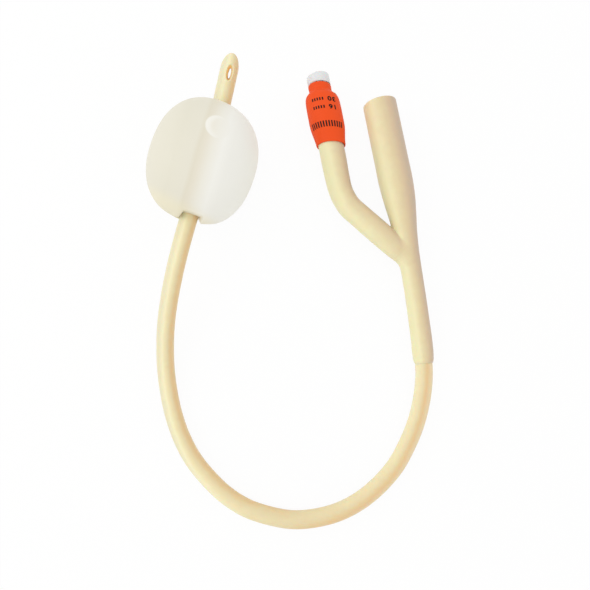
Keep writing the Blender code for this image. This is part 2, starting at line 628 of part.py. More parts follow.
def make_retainer(parts, plastic):
    outer = CHAMBER_RADIUS - CLEARANCE
    bottom = RETAINER_TOP_Y - RETAINER_THICKNESS
    ring = [(RETAINER_HOLE_RADIUS, RETAINER_TOP_Y), (outer, RETAINER_TOP_Y),
            (outer, bottom), (RETAINER_HOLE_RADIUS, bottom)]
    valve_turned("valve_retainer", ring, RETAINER_TOP_Y, 20, parts, plastic)


def main():
    clear_scene()
    parts = new_collection("balloon_catheter")
    cutters = new_collection("cutters")
    latex = material("coated_latex", (0.82, 0.72, 0.44), 0.4)
    membrane = material("balloon_latex", (0.83, 0.80, 0.68), 0.35)
    band = material("orange_rubber", (0.82, 0.10, 0.03), 0.5)
    white = material("white_plastic", (0.78, 0.78, 0.78), 0.35)
    rubber = material("seal_rubber", (0.45, 0.45, 0.44), 0.6)
    steel = material("spring_steel", (0.62, 0.62, 0.62), 0.25, 1.0)
    make_shaft(parts, cutters, latex)
    make_tip(parts, cutters, latex)
    make_balloon(parts, membrane)
    make_connector(parts, cutters, latex)
    make_sleeve(parts, band)
    make_valve_body(parts, white)
    make_plunger(parts, white, rubber)
    make_spring(parts, steel)
    make_retainer(parts, white)
    bpy.context.view_layer.update()


main()
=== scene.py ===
# %% [markdown]
# A two-way balloon catheter, lying on a pale table and seen from nearly straight above.
# The real thing is natural rubber latex, about 380 mm long from its closed tip to its funnel. It
# has a balloon blown up with water near the tip, and a forked end with a drainage funnel and an
# inflation arm. An orange band holds the white inflation valve in the arm.
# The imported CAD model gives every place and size. This script dresses it: it loads the model as a
# fixed frame and builds a fine mesh for each piece round it.

# %% Load the frame
import math

import bmesh
import bpy
import numpy as np
from mathutils import Matrix, Vector


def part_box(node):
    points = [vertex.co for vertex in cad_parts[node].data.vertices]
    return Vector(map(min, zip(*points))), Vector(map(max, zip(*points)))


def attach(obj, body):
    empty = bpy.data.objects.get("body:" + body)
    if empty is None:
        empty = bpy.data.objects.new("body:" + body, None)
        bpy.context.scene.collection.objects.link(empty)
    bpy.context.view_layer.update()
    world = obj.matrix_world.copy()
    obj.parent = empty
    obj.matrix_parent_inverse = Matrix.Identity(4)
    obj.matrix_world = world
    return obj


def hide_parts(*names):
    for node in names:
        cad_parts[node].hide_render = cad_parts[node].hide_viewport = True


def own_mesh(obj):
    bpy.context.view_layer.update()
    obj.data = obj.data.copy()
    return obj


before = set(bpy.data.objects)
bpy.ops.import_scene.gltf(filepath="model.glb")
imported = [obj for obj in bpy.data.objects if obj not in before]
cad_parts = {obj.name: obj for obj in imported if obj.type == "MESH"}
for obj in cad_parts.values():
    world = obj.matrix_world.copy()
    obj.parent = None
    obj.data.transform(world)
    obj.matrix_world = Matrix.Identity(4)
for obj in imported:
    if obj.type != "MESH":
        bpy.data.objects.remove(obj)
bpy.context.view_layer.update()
MM = 0.001

# %% [markdown]
# The photograph was taken from close by, a little off the vertical, and the part lies turned in
# the picture. A camera can be placed by eye, but then every edge has to be nudged. Here it was
# worked out once from the part's real size, and it is given as a place, a tilt and a turn.

# %% Camera
CAMERA_PLACE = Vector((-1.63, -20.80, 187.64)) * MM
CAMERA_TILT = math.radians(6.0)
CAMERA_TURN = math.radians(-10.3)
SENSOR_WIDTH = 36.0
LENS = 30.51
NEAREST = 5 * MM
FARTHEST = 10.0

camera = bpy.data.objects.new("camera", bpy.data.cameras.new("camera"))
bpy.context.scene.collection.objects.link(camera)
camera.matrix_world = (Matrix.Translation(CAMERA_PLACE) @ Matrix.Rotation(CAMERA_TURN, 4, "Z")
                       @ Matrix.Rotation(CAMERA_TILT, 4, "X"))
camera.data.sensor_width = SENSOR_WIDTH
camera.data.lens = LENS
camera.data.clip_start = NEAREST
camera.data.clip_end = FARTHEST
bpy.context.scene.camera = camera
bpy.context.scene.view_settings.view_transform = "Standard"
print("camera", round(CAMERA_PLACE.z / MM), "mm up,", LENS, "mm lens")

# %% [markdown]
# Materials are made of nodes. Two small helpers keep that readable: one adds any node with its
# settings and links, and one turns the hex code of a screen colour into the linear numbers that
# the renderer works in.

# %% Node and colour helpers


def srgb(code):
    """Linear RGBA of a hex colour such as F0E6BC."""
    shares = [int(code[i:i + 2], 16) / 255 for i in (0, 2, 4)]
    return [s / 12.92 if s <= 0.04045 else ((s + 0.055) / 1.055) ** 2.4 for s in shares] + [1.0]


def node(tree, kind, inputs=None, **settings):
    """Adds a shader node. inputs maps a socket's name or number to a value or another socket."""
    made = tree.nodes.new(kind)
    for name, value in settings.items():
        setattr(made, name, value)
    for key, value in (inputs or {}).items():
        if isinstance(value, bpy.types.NodeSocket):
            tree.links.new(value, made.inputs[key])
        else:
            made.inputs[key].default_value = value
    return made


def new_material(name):
    """A material with its node tree emptied, but for the output."""
    mat = bpy.data.materials.new(name)
    mat.use_nodes = True
    tree = mat.node_tree
    tree.nodes.clear()
    return mat, tree, node(tree, "ShaderNodeOutputMaterial")


print("a colour as written and as linear light:", "F0E6BC", [round(c, 3) for c in srgb("F0E6BC")])

# %% [markdown]
# The floor is a pale table top. The photograph's ground is pure white, so the camera is shown the
# floor mixed with plain white light, which leaves the part's shadow faint. Reflections and what
# is seen through clear stuff show that same floor. Diffuse rays meet an ordinary matt floor, so the
# part is lit by nothing unreal.

# %% Floor
FLOOR_SIDE = 3.0
FLOOR_DROP = 0.02 * MM
WHITE_SHARE = 0.94

floor_shape = bmesh.new()
bmesh.ops.create_grid(floor_shape, x_segments=1, y_segments=1, size=FLOOR_SIDE / 2)
bmesh.ops.translate(floor_shape, verts=floor_shape.verts, vec=(0, 0, -FLOOR_DROP))
floor_mesh = bpy.data.meshes.new("floor")
floor_shape.to_mesh(floor_mesh)
floor_shape.free()
floor = bpy.data.objects.new("floor", floor_mesh)
bpy.context.scene.collection.objects.link(floor)

floor_material, tree, output = new_material("matt_white_table")
table = node(tree, "ShaderNodeBsdfDiffuse", {"Color": srgb("F4F4F2")})
white = node(tree, "ShaderNodeEmission", {"Color": (1, 1, 1, 1), "Strength": 1.0})
path = node(tree, "ShaderNodeLightPath")
seen = node(tree, "ShaderNodeMath", {0: path.outputs["Is Camera Ray"],
                                     1: path.outputs["Is Glossy Ray"]}, operation="MAXIMUM")
seen = node(tree, "ShaderNodeMath", {0: seen.outputs[0], 1: path.outputs["Is Transmission Ray"]},
            operation="MAXIMUM")
shown = node(tree, "ShaderNodeMath", {0: seen.outputs[0], 1: WHITE_SHARE}, operation="MULTIPLY")
mixed = node(tree, "ShaderNodeMixShader",
             {0: shown.outputs[0], 1: table.outputs[0], 2: white.outputs[0]})
tree.links.new(mixed.outputs[0], output.inputs["Surface"])
floor_mesh.materials.append(floor_material)
print("floor", FLOOR_SIDE, "m square, with", WHITE_SHARE, "of white for the camera")

# %% [markdown]
# Studio light: a white world stands for a light tent all round, and a soft box close by on the
# left makes the rounds of the tube turn. It is weak, because the photograph's shades are faint, and
# it is near, so the tube on its side gets a little more than the fork. A small lamp would draw hard
# glints, and the photograph has none.

# %% Light
WORLD_STRENGTH = 0.95
KEY_POWER = 0.42
KEY_SIDE = 0.3
KEY_PLACE = Vector((-0.36, 0.16, 0.34))

world = bpy.data.worlds.new("light_tent")
world.use_nodes = True
tree = world.node_tree
tree.nodes.clear()
path = node(tree, "ShaderNodeLightPath")
strength = node(tree, "ShaderNodeMix",
                {"Factor": path.outputs["Is Camera Ray"], "A": WORLD_STRENGTH, "B": 1.0},
                data_type="FLOAT")
tent = node(tree, "ShaderNodeBackground",
            {"Color": (1, 1, 1, 1), "Strength": strength.outputs["Result"]})
node(tree, "ShaderNodeOutputWorld", {"Surface": tent.outputs[0]})
bpy.context.scene.world = world

lamp = bpy.data.lights.new("soft_box", "AREA")
lamp.shape = "SQUARE"
lamp.size = KEY_SIDE
lamp.energy = KEY_POWER
soft_box = bpy.data.objects.new("soft_box", lamp)
soft_box.location = KEY_PLACE
soft_box.rotation_euler = KEY_PLACE.to_track_quat("Z", "Y").to_euler()
bpy.context.scene.collection.objects.link(soft_box)
print("world", WORLD_STRENGTH, "and a soft box of", KEY_POWER, "W")

# %% [markdown]
# Latex is cream because it is full of tiny particles: light goes a little way in and comes back
# warmer. The side that faces the light looks pale and the other side tan, by more than subsurface
# scattering shows on a wall this thin. So light and shade are painted into the colour itself: it
# runs along a ramp, read from the way the surface faces, from pale painted light on the side
# towards the light to tan painted shade on the side away from it, with a faint mottle. A slow drift
# from place to place is painted shade too: further along it the colour moves towards the tan end.
# The forked end has its own ramp, which ends in a duller, darker tan, painted shade for the far
# side of its big funnel. The surface is smooth and has a low sheen. The mottle is drawn a little
# coarser than the real one, or it would vanish in the render.

# %% Latex
LATEX_MOTTLE = 2.5 * MM
LATEX_GRAIN = 0.35 * MM
LATEX_DEPTH = 0.5 * MM
MOTTLE_SHARE = 0.12
PAINTED_SHADE_SHARE = 0.5
UNEVENNESS = 0.05
PAINTED_LIGHT_WAY = Vector((-0.93, 0.28, 0.23))


def added(tree, *values):
    """Sum of sockets or numbers."""
    total = values[0]
    for value in values[1:]:
        total = node(tree, "ShaderNodeMath", {0: total, 1: value}, operation="ADD").outputs[0]
    return total


def scaled(tree, value, share):
    return node(tree, "ShaderNodeMath", {0: value, 1: share}, operation="MULTIPLY").outputs[0]


def along_way(tree, vector, way):
    """How far a vector goes along a fixed direction."""
    return node(tree, "ShaderNodeVectorMath", {0: vector, 1: way},
                operation="DOT_PRODUCT").outputs["Value"]


def ramp(tree, value, stops):
    """Colours run through stops of (place from 0 to 1, hex code)."""
    made = node(tree, "ShaderNodeValToRGB", {"Fac": value})
    colours = made.color_ramp.elements
    while len(colours) < len(stops):
        colours.new(0.5)
    for stop, (place, code) in zip(colours, stops):
        stop.position = place
        stop.color = srgb(code)
    return made.outputs["Color"]


def latex(name, stops, roughness, shade_drift=(0, 0, 0), level=0.5):
    """Latex with painted light and shade: its tones run from the pale side, towards the light, to
    the warm, shaded one, with a fine skin texture.

    shade_drift is how much further into the painted shade it gets a metre further along X, Y and Z."""
    mat, tree, output = new_material(name)
    place = node(tree, "ShaderNodeTexCoord").outputs["Object"]
    facing = node(tree, "ShaderNodeNewGeometry").outputs["Normal"]
    mottle = node(tree, "ShaderNodeTexNoise",
                  {"Vector": place, "Scale": 1 / LATEX_MOTTLE, "Detail": 2.0, "Roughness": 0.5})
    # Painted shade: the ramp's place rises on the side turned away from the light and along the
    # shade drift, plus a faint mottle.
    painted_shade = added(tree, scaled(tree, along_way(tree, facing, PAINTED_LIGHT_WAY), -PAINTED_SHADE_SHARE),
                   along_way(tree, place, shade_drift), scaled(tree, mottle.outputs[0], MOTTLE_SHARE),
                   level - MOTTLE_SHARE / 2)
    grain = node(tree, "ShaderNodeTexNoise", {"Vector": place, "Scale": 1 / LATEX_GRAIN})
    dull = node(tree, "ShaderNodeMapRange", {
        "Value": grain.outputs[0], "To Min": roughness - UNEVENNESS,
        "To Max": roughness + UNEVENNESS})
    skin = node(tree, "ShaderNodeBump",
                {"Height": grain.outputs[0], "Strength": 0.08, "Distance": 0.02 * MM})
    shader = node(tree, "ShaderNodeBsdfPrincipled", {
        "Base Color": ramp(tree, painted_shade, stops), "Roughness": dull.outputs[0], "IOR": 1.52,
        "Subsurface Weight": 0.3, "Subsurface Radius": (1.0, 0.5, 0.25),
        "Subsurface Scale": LATEX_DEPTH, "Specular IOR Level": 0.3, "Sheen Weight": 0.12,
        "Sheen Roughness": 0.45, "Sheen Tint": srgb("FFF6DC"), "Normal": skin.outputs[0]})
    tree.links.new(shader.outputs[0], output.inputs["Surface"])
    return mat


# Each ramp starts with painted light at its pale end and ends with painted shade at its tan end.
tube_latex = latex("coated_latex", [
    (0.0, "E6DEBA"), (0.2, "F4ECC5"), (0.34, "EEE1B5"), (0.5, "E6D6AC"), (0.6, "E6CD9C"),
    (0.7, "E6C796"), (0.95, "ECD7AE")], 0.46, (3.8, -2.0, 0))
fork_latex = latex("moulded_latex", [
    (0.06, "EEE8BC"), (0.2, "EFE7BC"), (0.35, "E6D8AE"), (0.5, "DFCDA5"), (0.6, "DBC6A2"),
    (0.7, "D6BE9E"), (0.8, "D0BA9D"), (0.9, "CAB49D")], 0.46, (8.0, 1.0, 0), 0.22)
eye_wall_latex = latex("orange_eye_wall_latex", [(0.1, "FFE2AC"), (0.5, "FBD28C"), (0.9, "F5C47A")], 0.6)
print("latex", tube_latex.name, fork_latex.name, "and, inside the eyes,", eye_wall_latex.name)

# %% [markdown]
# The small parts: an orange elastic band with black print, white moulded plastic, grey seal
# rubber and spring steel. Each starts from the numbers usual for its stuff: rubber is rough with
# a dull shine, polypropylene is half glossy and slightly see-through, and steel is a bright metal.

# %% Small parts' materials
SMALL_UNEVENNESS = 0.06


def plain(name, colour, roughness, grain, depth, **more):
    """One-colour material with fine unevenness: grain is its size, depth how deep it is."""
    mat, tree, output = new_material(name)
    place = node(tree, "ShaderNodeTexCoord").outputs["Object"]
    spots = node(tree, "ShaderNodeTexNoise", {"Vector": place, "Scale": 1 / grain, "Detail": 3.0})
    dull = node(tree, "ShaderNodeMapRange", {
        "Value": spots.outputs[0], "To Min": roughness - SMALL_UNEVENNESS,
        "To Max": roughness + SMALL_UNEVENNESS})
    skin = node(tree, "ShaderNodeBump",
                {"Height": spots.outputs[0], "Strength": 0.3, "Distance": depth})
    shader = node(tree, "ShaderNodeBsdfPrincipled", {
        "Base Color": srgb(colour), "Roughness": dull.outputs[0], "Normal": skin.outputs[0]})
    for socket, value in more.items():
        shader.inputs[socket.replace("_", " ")].default_value = value
    tree.links.new(shader.outputs[0], output.inputs["Surface"])
    return mat


orange_rubber = plain("orange_elastic_rubber", "EE5119", 0.6, 0.5 * MM, 0.01 * MM,
                      Specular_IOR_Level=0.2)
white_plastic = plain("moulded_polypropylene", "E1E1E1", 0.35, 0.8 * MM, 0.004 * MM,
                      Subsurface_Weight=0.2, Subsurface_Scale=0.8 * MM)
seal_rubber = plain("grey_seal_rubber", "72726F", 0.6, 0.3 * MM, 0.01 * MM)
spring_steel = plain("drawn_spring_steel", "C9CBCE", 0.24, 0.2 * MM, 0.002 * MM, Metallic=1.0)
print_ink = plain("black_band_ink", "14100E", 0.6, 0.3 * MM, 0.004 * MM,
                  Specular_IOR_Level=0.2)
print("small parts", orange_rubber.name, white_plastic.name, spring_steel.name)

# %% [markdown]
# Most of this object is tubes, so the shapes come from a few helpers. First come the lines: each is
# a smooth curve drawn through a few given points. Blender's own curves could do this too, but plain
# points are easier to measure and to move sideways before anything is made.

# %% Lines


def millimetres(rows):
    """Points in metres from rows of millimetres. A fourth number is a radius."""
    return [Vector([number * MM for number in row]) for row in rows]


def smooth_line(points, spacing):
    """Points about spacing apart on a smooth curve through points, radii carried along."""
    gaps = [(after - before).length for before, after in zip(points, points[1:])]
    slopes = [(after - before) / gap for before, after, gap in zip(points, points[1:], gaps)]
    tangents = [slopes[0]]
    for first, second, gap, next_gap in zip(slopes, slopes[1:], gaps, gaps[1:]):
        tangents.append((first * next_gap + second * gap) / (gap + next_gap))
    tangents.append(slopes[-1])
    line = [points[0]]
    for index, gap in enumerate(gaps):
        steps = max(1, round(gap / spacing))
        for step in range(1, steps + 1):
            t = step / steps
            line.append(points[index] * (2 * t**3 - 3 * t**2 + 1)
                        + points[index + 1] * (3 * t**2 - 2 * t**3)
                        + tangents[index] * gap * (t**3 - 2 * t**2 + t)
                        + tangents[index + 1] * gap * (t**3 - t**2))
    return line


def ahead(line, index):
    """Unit vector along the line at a point."""
    a = Vector(line[max(index - 1, 0)][:3])
    b = Vector(line[min(index + 1, len(line) - 1)][:3])
    return (b - a).normalized()


def upright(direction, place):
    """Matrix at place whose Z runs along direction and whose X is level, to the right of it."""
    x_axis = Vector((direction.y, -direction.x, 0)).normalized()
    turn = Matrix((x_axis, direction.cross(x_axis), direction)).transposed()
    return Matrix.Translation(place) @ turn.to_4x4()


def beside(line, offset):
    """The line moved level to its right by offset."""
    return [Vector(p[:3]) + upright(ahead(line, i), p[:3]).col[0].to_3d() * offset
            for i, p in enumerate(line)]


def length_of(line):
    return sum((Vector(b[:3]) - Vector(a[:3])).length for a, b in zip(line, line[1:]))


TRIAL_LINE = millimetres([(0, 0, 0), (10, 0, 0)])
print("a 10 mm line in steps of 1 mm has", len(smooth_line(TRIAL_LINE, MM)), "points")

# %% [markdown]
# A ring carried along such a line, and extruded at each step, gives a tube of any bore. Round
# pieces are spun from a profile instead. Where a modifier shapes a piece, its result is kept at
# once as plain mesh, so that the next step can work on it.

# %% Tubes and turned shapes


def edges_of(ring):
    """The ring's edges, each once, in the order of its vertices."""
    return list(dict.fromkeys(edge for vertex in ring for edge in vertex.link_edges))


def sweep(work, line, radii, sides=40):
    """A ring carried along the line and extruded at each point. Returns both end rings' edges."""
    ring = bmesh.ops.create_circle(work, segments=sides, radius=1.0)["verts"]
    edges = edges_of(ring)
    first = edges
    placed = Matrix.Identity(4)
    for index, radius in enumerate(radii):
        if index:
            made = bmesh.ops.extrude_edge_only(work, edges=edges)["geom"]
            ring = [item for item in made if isinstance(item, bmesh.types.BMVert)]
            fresh = set(ring)
            edges = [item for item in made if isinstance(item, bmesh.types.BMEdge)
                     and fresh.issuperset(item.verts)]
        target = (upright(ahead(line, index), line[index][:3])
                  @ Matrix.Diagonal((radius, radius, 1, 1)))
        bmesh.ops.transform(work, verts=ring, matrix=target @ placed.inverted())
        placed = target
    return first, edges


def capped(work, *loops):
    """Closes flat openings, each bounded by the edges of one or more rings."""
    for edges in loops:
        bmesh.ops.triangle_fill(work, use_beauty=True, use_dissolve=False, edges=edges)


def turned(work, profile, place, steps=96, closed=True):
    """Spins a profile of (radius, height) about Z. A closed one is a ring's section."""
    verts = [work.verts.new((radius, 0, height)) for radius, height in profile]
    pairs = list(zip(verts, verts[1:])) + ([(verts[-1], verts[0])] if closed else [])
    edges = [work.edges.new(pair) for pair in pairs]
    bmesh.ops.spin(work, geom=verts + edges, axis=(0, 0, 1), cent=(0, 0, 0),
                   angle=math.tau, steps=steps, use_merge=True)
    bmesh.ops.remove_doubles(work, verts=work.verts, dist=0.0005 * MM)
    bmesh.ops.transform(work, verts=work.verts, matrix=place)


def arc(centre, radius, start, stop, steps):
    """Points of (radius, height) on a round, angles in degrees."""
    turns = [math.radians(start + (stop - start) * i / steps) for i in range(steps + 1)]
    return [(centre[0] + radius * math.cos(t), centre[1] + radius * math.sin(t)) for t in turns]


def as_piece(work, name, material=None, sharp=40):
    """Object made of the finished bmesh, with its faces pointing out and shaded smooth."""
    bmesh.ops.recalc_face_normals(work, faces=work.faces)
    mesh = bpy.data.meshes.new(name)
    work.to_mesh(mesh)
    work.free()
    piece = bpy.data.objects.new(name, mesh)
    bpy.context.scene.collection.objects.link(piece)
    finish_mesh(piece, material, sharp)
    return piece


def finish_mesh(piece, material, sharp=40):
    mesh = piece.data
    mesh.materials.clear()
    if material:
        mesh.materials.append(material)
    mesh.shade_smooth()
    mesh.set_sharp_from_angle(angle=math.radians(sharp))


def changed_by(piece, kind, **settings):
    """Applies one modifier to the piece and keeps its result as plain mesh."""
    step = piece.modifiers.new(kind.title(), kind)
    for name, value in settings.items():
        setattr(step, name, value)
    bpy.context.view_layer.update()
    result = bpy.data.meshes.new_from_object(
        piece.evaluated_get(bpy.context.evaluated_depsgraph_get()))
    piece.modifiers.clear()
    old = piece.data
    piece.data = result
    result.name = piece.name
    bpy.data.meshes.remove(old)
    return piece


def cut(piece, cutter):
    """Takes the cutter's solid out of the piece, and removes the cutter."""
    changed_by(piece, "BOOLEAN", operation="DIFFERENCE", solver="EXACT", object=cutter)
    bpy.data.objects.remove(cutter, do_unlink=True)


def keep(piece, slot, *nodes, body="catheter"):
    """The piece takes the place of CAD nodes and moves with a body."""
    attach(piece, body)
    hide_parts(*nodes)
    low = Vector([min(v.co[i] for v in piece.data.vertices) for i in range(3)])
    high = Vector([max(v.co[i] for v in piece.data.vertices) for i in range(3)])
    print(piece.name, len(piece.data.polygons), "faces, from",
          [round(n / MM, 1) for n in low], "to", [round(n / MM, 1) for n in high], "mm")


trial = bmesh.new()
capped(trial, *sweep(trial, TRIAL_LINE, [MM, MM]))
print("a capped trial tube has", len(trial.faces), "faces")
trial.free()

# %% [markdown]
# The tube comes first, because it fixes where everything else lies. Its points are those of the
# CAD tube, with the first few up to 0.3 mm further right, where the photograph has them: out of the
# forked end, down to the table, round a wide bend and up into the balloon, which holds it off the
# table.

# %% The tube's line
SHAFT_RADIUS = 3.1 * MM
STEM_ROWS = [(43.5, -34.7, 3.9), (44.25, -27.4, 4.2), (44.75, -19.4, 4.6)]
SOCKET_DEPTH = 11.6 * MM
TUBE_ROWS = [
    (42.8, -38.9, 3.7), (41.7, -43.1, 3.5), (40.3, -47.2, 3.3), (38.6, -51.2, 3.15),
    (36.65, -55.0, 3.1), (31.8, -62.2, 3.1), (26.2, -68.7, 3.1), (19.5, -73.9, 3.1),
    (11.9, -78.0, 3.1), (3.7, -80.5, 3.1), (-4.8, -81.2, 3.1), (-13.3, -80.3, 3.1),
    (-21.4, -77.4, 3.1), (-28.9, -73.3, 3.1), (-35.3, -67.6, 3.1), (-40.4, -60.9, 3.1),
    (-44.7, -53.4, 3.1), (-47.5, -45.4, 3.1), (-49.1, -36.9, 3.1), (-49.6, -28.3, 3.2),
    (-49.1, -19.7, 4.2), (-47.5, -11.1, 6.2), (-45.1, -2.9, 8.8), (-42.0, 5.0, 11.4),
    (-38.6, 12.5, 13.9), (-35.0, 20.0, 15.7),
]
BALLOON_LEAN = math.radians(26.65)
BALLOON_RISE = math.radians(5.0)
BALLOON_RADIUS = 18.37 * MM
BALLOON_HALF_LENGTH = 21.3 * MM
RECESS_DEPTH = 3.4 * MM
CUFF_LENGTH = 3.0 * MM
BALLOON_LEAD = 3.0 * MM

balloon_low, balloon_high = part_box("retention_balloon")
balloon_middle = Vector((-21.18 * MM, 47.82 * MM, (balloon_low.z + balloon_high.z) / 2))
balloon_axis = Vector((math.sin(BALLOON_LEAN) * math.cos(BALLOON_RISE),
                       math.cos(BALLOON_LEAN) * math.cos(BALLOON_RISE), math.sin(BALLOON_RISE)))
SHAFT_END = BALLOON_HALF_LENGTH - RECESS_DEPTH - CUFF_LENGTH / 2


def on_axis(distance):
    return balloon_middle + balloon_axis * distance


stem_start = smooth_line(millimetres(STEM_ROWS), 0.5 * MM)
held = [p for p in stem_start if p.y < stem_start[0].y + SOCKET_DEPTH]
route = [held[-1], held[len(held) // 2], held[0]] + millimetres(TUBE_ROWS)
route += [on_axis(d) for d in (-BALLOON_HALF_LENGTH - BALLOON_LEAD, -BALLOON_HALF_LENGTH / 2, 0.0,
                               SHAFT_END)]
tube_line = smooth_line(route, 1.2 * MM)
print("tube's line", round(length_of(tube_line) / MM), "mm in", len(tube_line), "points")

# %% [markdown]
# The tube has two bores, as the real one has: a wide one for drainage and, in its thicker side, a
# fine one that feeds the balloon through a small eye. Three rings are swept along one line, and
# the flat ends between them are filled, which leaves one closed body.

# %% Tube
DRAIN_RADIUS = 1.7 * MM
DRAIN_OFFSET = -0.4 * MM
FEED_RADIUS = 0.45 * MM
FEED_OFFSET = 2.2 * MM
FEED_EYE_AHEAD = 3.6 * MM
FEED_EYE_LENGTH = 2.4 * MM

drain_line = beside(tube_line, DRAIN_OFFSET)
reach = (on_axis(FEED_EYE_AHEAD) - tube_line[-1]).length
feed_line = beside([p for p in tube_line if (p - tube_line[-1]).length >= reach], FEED_OFFSET)

work = bmesh.new()
outside = sweep(work, tube_line, [SHAFT_RADIUS] * len(tube_line))
drain = sweep(work, drain_line, [DRAIN_RADIUS] * len(drain_line), 24)
feed = sweep(work, feed_line, [FEED_RADIUS] * len(feed_line), 12)
capped(work, outside[0] + drain[0] + feed[0], outside[1] + drain[1], feed[1])
tube = as_piece(work, "tube", tube_latex)

eye_ends = [on_axis(FEED_EYE_AHEAD + share * FEED_EYE_LENGTH) for share in (-0.5, 0.5)]
work = bmesh.new()
rims = sweep(work, beside(eye_ends, SHAFT_RADIUS), [SHAFT_RADIUS - FEED_OFFSET] * 2, 20)
capped(work, *rims)
cut(tube, as_piece(work, "feed_eye"))
finish_mesh(tube, tube_latex)
keep(tube, "tube_latex", "catheter_shaft")

# %% [markdown]
# The tip is closed and round, with a drainage eye through its upper wall and another, a little
# further on, through the lower one. It lies rolled a little to the right. It is spun, the eyes are
# cut, and then a voxel remesh and a few rounds of smoothing melt the cut edges, as the makers do
# with a polished eye. The walls of the eyes are drawn in a deeper, more orange latex: each face
# that lies under the outer skin takes that material.

# %% Tip
TIP_RADIUS = 3.15 * MM
TIP_LENGTH = 23.3 * MM
TIP_LEAN = math.radians(22.8)
NOSE_LENGTH = 6.1 * MM
NOSE_STEPS = 24
CLEARANCE = 0.3 * MM
EYE_FROM_NOSE = 8.0 * MM
EYE_STAGGER = 1.8 * MM
EYE_ROLL = math.radians(14.0)
EYE_SIDESTEP = 0.4 * MM
EYE_OUTER = (2.6 * MM / 2, 5.9 * MM / 2)
EYE_INNER = (0.75 * MM / 2, 4.0 * MM / 2)
EYE_OVERCUT = 0.9 * MM
EYE_SKIN = 0.3 * MM
TIP_VOXEL = 0.13 * MM

tip_direction = Vector((math.sin(TIP_LEAN) * math.cos(BALLOON_RISE),
                        math.cos(TIP_LEAN) * math.cos(BALLOON_RISE), math.sin(BALLOON_RISE)))
tip_place = upright(tip_direction, on_axis(SHAFT_END + CLEARANCE))
nose = [(TIP_RADIUS * math.sin(t), TIP_LENGTH - NOSE_LENGTH * (1 - math.cos(t)))
        for t in (math.radians(90 * i / NOSE_STEPS) for i in range(NOSE_STEPS + 1))]
lumen_top = TIP_LENGTH - EYE_FROM_NOSE + EYE_OUTER[1]
lumen_end = arc((0, lumen_top - DRAIN_RADIUS), DRAIN_RADIUS, 0, 90, 12)
tip_profile = nose + [(TIP_RADIUS, 0.0), (DRAIN_RADIUS, 0.0)] + lumen_end
work = bmesh.new()
turned(work, tip_profile, Matrix.Identity(4), closed=False)
tip = as_piece(work, "tip")

work = bmesh.new()
wall = TIP_RADIUS - DRAIN_RADIUS
flare = (wall + EYE_OVERCUT) / wall
wide, long = [inner + (outer - inner) * flare for outer, inner in zip(EYE_OUTER, EYE_INNER)]
levels = [(-TIP_RADIUS - EYE_OVERCUT, wide, long, 0.0), (-DRAIN_RADIUS, *EYE_INNER, 0.0),
          (DRAIN_RADIUS, *EYE_INNER, EYE_STAGGER),
          (TIP_RADIUS + EYE_OVERCUT, wide, long, EYE_STAGGER)]
rims = []
for level, half_width, half_length, shift in levels:
    ring = bmesh.ops.create_circle(work, segments=48, radius=1.0)["verts"]
    place = (EYE_SIDESTEP, level, TIP_LENGTH - EYE_FROM_NOSE + shift)
    bmesh.ops.transform(work, verts=ring, matrix=(
        Matrix.Rotation(EYE_ROLL, 4, "Z") @ Matrix.Translation(place)
        @ Matrix.Rotation(math.pi / 2, 4, "X") @ Matrix.Diagonal((half_width, half_length, 1, 1))))
    rims.append(edges_of(ring))
for lower, upper in zip(rims, rims[1:]):
    bmesh.ops.bridge_loops(work, edges=lower + upper)
capped(work, rims[0], rims[-1])
cut(tip, as_piece(work, "eyes"))
changed_by(tip, "REMESH", mode="VOXEL", voxel_size=TIP_VOXEL)
changed_by(tip, "SMOOTH", factor=0.5, iterations=10)
finish_mesh(tip, tube_latex, 180)
tip.data.materials.append(eye_wall_latex)


def nose_radius(height):
    """Outer radius of the tip at a height above its base."""
    share = min(max(0.0, (height - TIP_LENGTH + NOSE_LENGTH) / NOSE_LENGTH), 1.0)
    return TIP_RADIUS * math.sqrt(1 - share * share)


for face in tip.data.polygons:
    depth = nose_radius(face.center.z) - math.hypot(face.center.x, face.center.y)
    face.material_index = int(depth > EYE_SKIN)
tip.data.transform(tip_place)
keep(tip, "tube_latex", "drainage_tip")

# %% [markdown]
# The balloon is the same latex, blown up until it is thin. It looks milky, and what is inside it
# shows faintly. An alpha a little below 1 lets the camera see in. The water inside bends the light,
# so the tube's left edge reads as a warm stripe and its right one as a pale zone, and the balloon's
# right side is lighter than its left: that light and shade are painted across the membrane, along
# the tube. The end nearer the fork is painted yellower. The round air bubble that a filled balloon
# nearly always keeps is painted as a pale disc, a painted highlight that is brightest at its left
# edge.

# %% Balloon membrane
MEMBRANE_CLOUD = 9 * MM
CLOUD_SHARE = 0.02
TONE_LEVEL = 0.49
STRIPE_SLANT = 0.27
STRIPE_REACH = 20 * MM
YELLOW_FROM = -15 * MM
YELLOW_TO = -20 * MM
YELLOW_SHARE = 0.5
YELLOW_SLANT = 0.2
BUBBLE_RADIUS = 4.3 * MM
BUBBLE_EDGE = 0.6 * MM
BUBBLE_SHIFT = 1.3 * MM
BUBBLE_FADE = 0.6
BUBBLE_ALONG = 9.09 * MM
BUBBLE_RIGHT = 5.2 * MM
BUBBLE_UP = 16.42 * MM

balloon_turn = upright(balloon_axis, balloon_middle)
right_hand = balloon_turn.col[0].to_3d()
up_hand = -balloon_turn.col[1].to_3d()
bubble_place = on_axis(BUBBLE_ALONG) + right_hand * BUBBLE_RIGHT + up_hand * BUBBLE_UP


